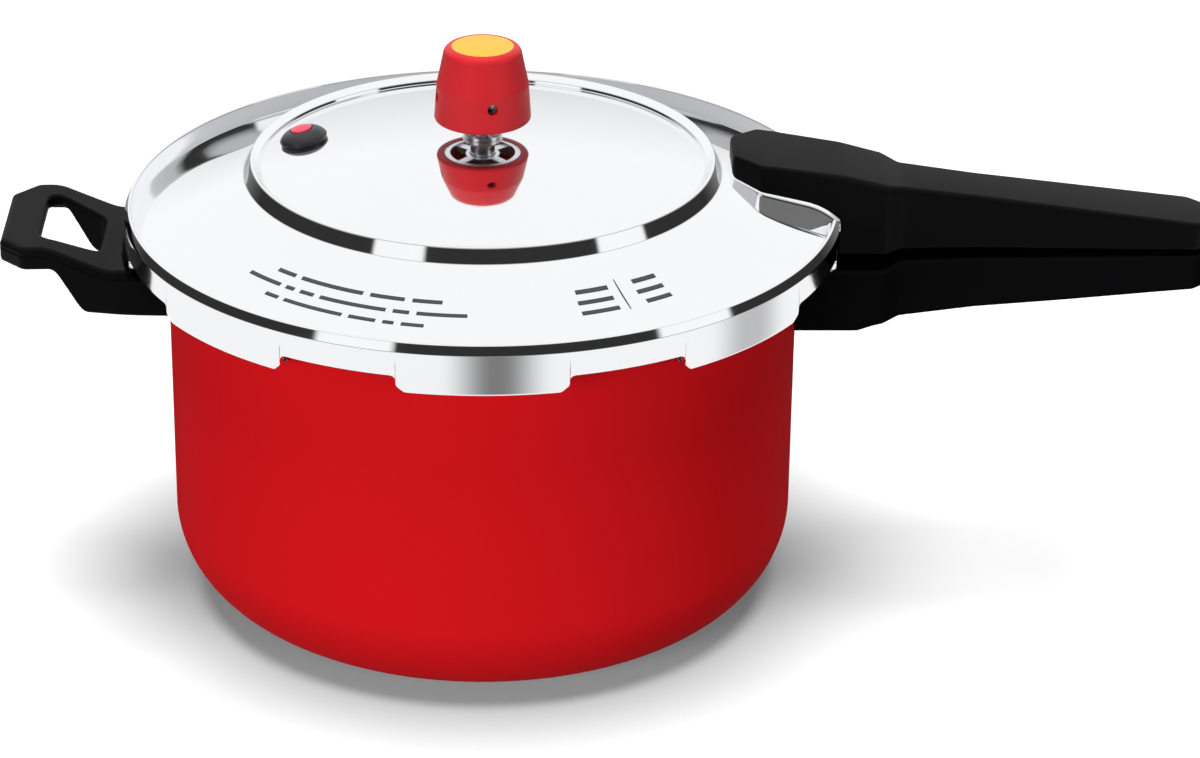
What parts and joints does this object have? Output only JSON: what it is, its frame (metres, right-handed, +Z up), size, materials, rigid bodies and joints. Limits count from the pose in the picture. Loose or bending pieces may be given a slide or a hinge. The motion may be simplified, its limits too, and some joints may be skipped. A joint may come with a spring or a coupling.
{
  "type": "stovetop pressure cooker",
  "caption": "Round stovetop pressure cooker with a red pot, a polished twist-lock lid, long paired handles, a helper handle, a lift-off regulator weight and a safety valve.",
  "frame": {"origin": "centre of the pot's flat base", "axes": "+Z up the pot's axis, +X along the long handles, helper handle at -X"},
  "size_m": [0.4275, 0.2538, 0.2045],
  "materials": {
    "pot_lacquer": "satin red lacquer outside, bare aluminium inside",
    "handle_black": "satin moulded thermoset",
    "bracket_metal": "cast, brushed",
    "fastener_steel": "plain stainless steel",
    "brass": "plain brass",
    "seal_rubber": "grey silicone",
    "lid_aluminium": "mirror polished",
    "vent_metal": "bright plated",
    "cap_red": "satin moulded plastic",
    "disc_yellow": "satin",
    "valve_rubber": "black silicone",
    "pin_pink": "satin"
  },
  "bodies": {
    "pot": {"pot_body": "pot_lacquer", "lower_handle": "handle_black", "lower_handle_bracket": "bracket_metal", "lower_handle_rivets": "fastener_steel", "lower_handle_screw": "fastener_steel", "helper_handle": "handle_black", "helper_handle_bracket": "bracket_metal", "helper_handle_rivets": "fastener_steel", "helper_handle_screw": "fastener_steel"},
    "seal": {"gasket": "seal_rubber"},
    "lid": {"lid_shell": "lid_aluminium", "upper_handle": "handle_black", "upper_handle_screws": "fastener_steel", "upper_handle_washers": "fastener_steel", "upper_handle_inserts": "brass", "vent_stem": "vent_metal", "vent_seal": "seal_rubber", "vent_nut": "vent_metal", "vent_guard": "vent_metal", "safety_plug": "valve_rubber"},
    "needle": {"vent_needle": "fastener_steel", "needle_clip": "fastener_steel"},
    "weight": {"weight_shell": "cap_red", "weight_core": "brass", "weight_guide": "vent_metal", "weight_screws": "fastener_steel", "cap_disc": "disc_yellow"},
    "indicator": {"indicator_pin": "pin_pink", "pin_retainer": "fastener_steel"}
  },
  "joints": [
    {"name": "lid_lift", "type": "slide", "parent": "pot", "child": "seal", "axis": [0, 0, 1], "range_m": [0, 0.12]},
    {"name": "lid_turn", "type": "hinge", "parent": "seal", "child": "lid", "pos_m": [0, 0, 0.14], "axis": [0, 0, 1], "range_deg": [0, 22.5]},
    {"name": "weight_lift", "type": "slide", "parent": "lid", "child": "needle", "axis": [0, 0, 1], "range_m": [0, 0.03]},
    {"name": "weight_spin", "type": "hinge", "parent": "needle", "child": "weight", "pos_m": [0, 0, 0.19], "axis": [0, 0, 1], "continuous": true},
    {"name": "indicator_rise", "type": "slide", "parent": "lid", "child": "indicator", "axis": [-0.2055, 0.0388, 0.9779], "range_m": [0, 0.003]}
  ]
}
